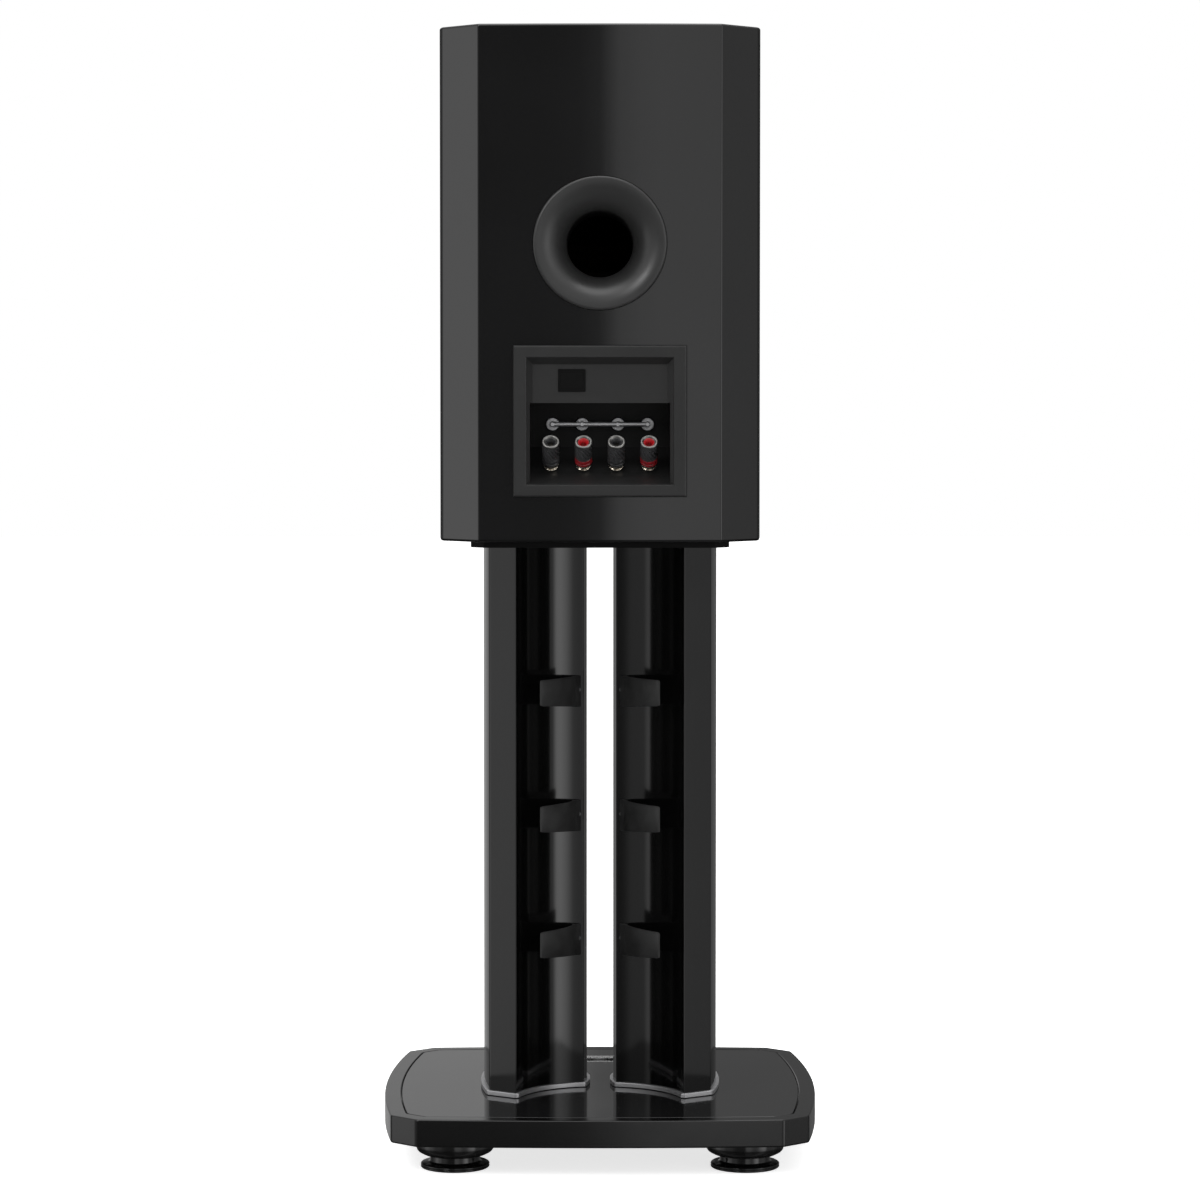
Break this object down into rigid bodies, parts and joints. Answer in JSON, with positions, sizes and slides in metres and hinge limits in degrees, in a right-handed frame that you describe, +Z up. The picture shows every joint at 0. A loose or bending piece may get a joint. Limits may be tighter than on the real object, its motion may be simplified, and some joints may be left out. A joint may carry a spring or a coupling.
{
  "type": "stand-mounted bookshelf speaker",
  "caption": "Two-way ported loudspeaker cabinet bolted to its own two-column stand, with binding posts, a jumper bridge and cable clips at the rear.",
  "frame": {"origin": "on the floor, under the centre of the base", "axes": "+Z up; -Y is the front with the baffle; +Y is the rear with the port and terminals; +X is the side on the left when the rear is viewed"},
  "size_m": [0.391, 0.375, 1.0015],
  "materials": {
    "cabinet_lacquer": "black piano lacquer on board",
    "base_lacquer": "satin black lacquer on board",
    "gloss_panel": "polished black",
    "column_lacquer": "black gloss lacquer on an aluminium extrusion",
    "plate_paint": "black powder coat",
    "foot_paint": "black gloss paint",
    "port_plastic": "satin moulded black",
    "cup_plastic": "fine moulded grain, dark grey",
    "bright_metal": "satin bright",
    "post_metal": "plated, pale gold",
    "red_plastic": "red moulded",
    "black_plastic": "black moulded",
    "rubber": "matte black",
    "steel": "plain",
    "raw_board": "raw board",
    "felt": "grey felt",
    "cone_paper": "pressed, dark",
    "spider_cloth": "resin-treated cloth",
    "circuit_board": "green",
    "copper": "enamelled copper wire"
  },
  "bodies": {
    "root": {"cabinet_shell": "cabinet_lacquer", "front_baffle": "cabinet_lacquer", "base_plate": "base_lacquer", "base_inset": "gloss_panel", "badge_plate": "gloss_panel", "column_left": "column_lacquer", "column_right": "column_lacquer", "stand_top_plate": "plate_paint", "woofer_frame": "plate_paint", "foot_disc_rear_left": "foot_paint", "foot_disc_rear_right": "foot_paint", "foot_disc_front_left": "foot_paint", "foot_disc_front_right": "foot_paint", "foot_housing_rear_left": "foot_paint", "foot_housing_rear_right": "foot_paint", "foot_housing_front_left": "foot_paint", "foot_housing_front_right": "foot_paint", "port_flare": "port_plastic", "port_tube": "port_plastic", "horn_waveguide": "port_plastic", "terminal_cup": "cup_plastic", "column_trim_left": "bright_metal", "column_trim_right": "bright_metal", "front_accent_strip": "bright_metal", "jumper_socket_1": "bright_metal", "jumper_socket_2": "bright_metal", "jumper_socket_3": "bright_metal", "jumper_socket_4": "bright_metal", "post_stud_1": "post_metal", "post_stud_2": "post_metal", "post_stud_3": "post_metal", "post_stud_4": "post_metal", "cable_clip_left_1": "rubber", "cable_clip_left_2": "rubber", "cable_clip_left_3": "rubber", "cable_clip_right_1": "rubber", "cable_clip_right_2": "rubber", "cable_clip_right_3": "rubber", "terminal_gasket": "rubber", "woofer_surround": "rubber", "column_rod_left": "steel", "column_rod_right": "steel", "woofer_magnet": "steel", "compression_driver": "steel", "crossover_capacitor": "steel", "window_brace": "raw_board", "damping_felt": "felt", "woofer_spider": "spider_cloth", "crossover_board": "circuit_board", "crossover_inductor": "copper"},
    "woofer_moving": {"woofer_cone": "cone_paper"},
    "jumper": {"jumper_bridge": "bright_metal"},
    "clamp_1": {"clamp_ring_1": "black_plastic"},
    "knob_1": {"post_knob_1": "black_plastic"},
    "clamp_2": {"clamp_ring_2": "red_plastic"},
    "knob_2": {"post_knob_2": "black_plastic"},
    "clamp_3": {"clamp_ring_3": "black_plastic"},
    "knob_3": {"post_knob_3": "black_plastic"},
    "clamp_4": {"clamp_ring_4": "red_plastic"},
    "knob_4": {"post_knob_4": "black_plastic"}
  },
  "joints": [
    {"name": "cone_travel", "type": "slide", "parent": "root", "child": "woofer_moving", "axis": [0, -1, 0], "range_m": [-0.005, 0.005], "stiffness_N_per_m": 1200},
    {"name": "jumper_pull", "type": "slide", "parent": "root", "child": "jumper", "axis": [0, 1, 0], "range_m": [0, 0.03]},
    {"name": "clamp_slide_1", "type": "slide", "parent": "root", "child": "clamp_1", "axis": [0, 0.7396, 0.673], "range_m": [0, 0.004]},
    {"name": "knob_turn_1", "type": "hinge", "parent": "clamp_1", "child": "knob_1", "pos_m": [0.0428, 0.14152, 0.61905], "axis": [0, 0.7396, 0.673], "range_deg": [0, 1440]},
    {"name": "clamp_slide_2", "type": "slide", "parent": "root", "child": "clamp_2", "axis": [0, 0.7396, 0.673], "range_m": [0, 0.004]},
    {"name": "knob_turn_2", "type": "hinge", "parent": "clamp_2", "child": "knob_2", "pos_m": [0.0144, 0.14152, 0.61905], "axis": [0, 0.7396, 0.673], "range_deg": [0, 1440]},
    {"name": "clamp_slide_3", "type": "slide", "parent": "root", "child": "clamp_3", "axis": [0, 0.7396, 0.673], "range_m": [0, 0.004]},
    {"name": "knob_turn_3", "type": "hinge", "parent": "clamp_3", "child": "knob_3", "pos_m": [-0.0142, 0.14152, 0.61905], "axis": [0, 0.7396, 0.673], "range_deg": [0, 1440]},
    {"name": "clamp_slide_4", "type": "slide", "parent": "root", "child": "clamp_4", "axis": [0, 0.7396, 0.673], "range_m": [0, 0.004]},
    {"name": "knob_turn_4", "type": "hinge", "parent": "clamp_4", "child": "knob_4", "pos_m": [-0.0426, 0.14152, 0.61905], "axis": [0, 0.7396, 0.673], "range_deg": [0, 1440]}
  ],
  "couplings": [
    {"joint": "clamp_slide_1", "follows": "knob_turn_1", "m_per_rad": 0.00015915},
    {"joint": "clamp_slide_2", "follows": "knob_turn_2", "m_per_rad": 0.00015915},
    {"joint": "clamp_slide_3", "follows": "knob_turn_3", "m_per_rad": 0.00015915},
    {"joint": "clamp_slide_4", "follows": "knob_turn_4", "m_per_rad": 0.00015915}
  ]
}
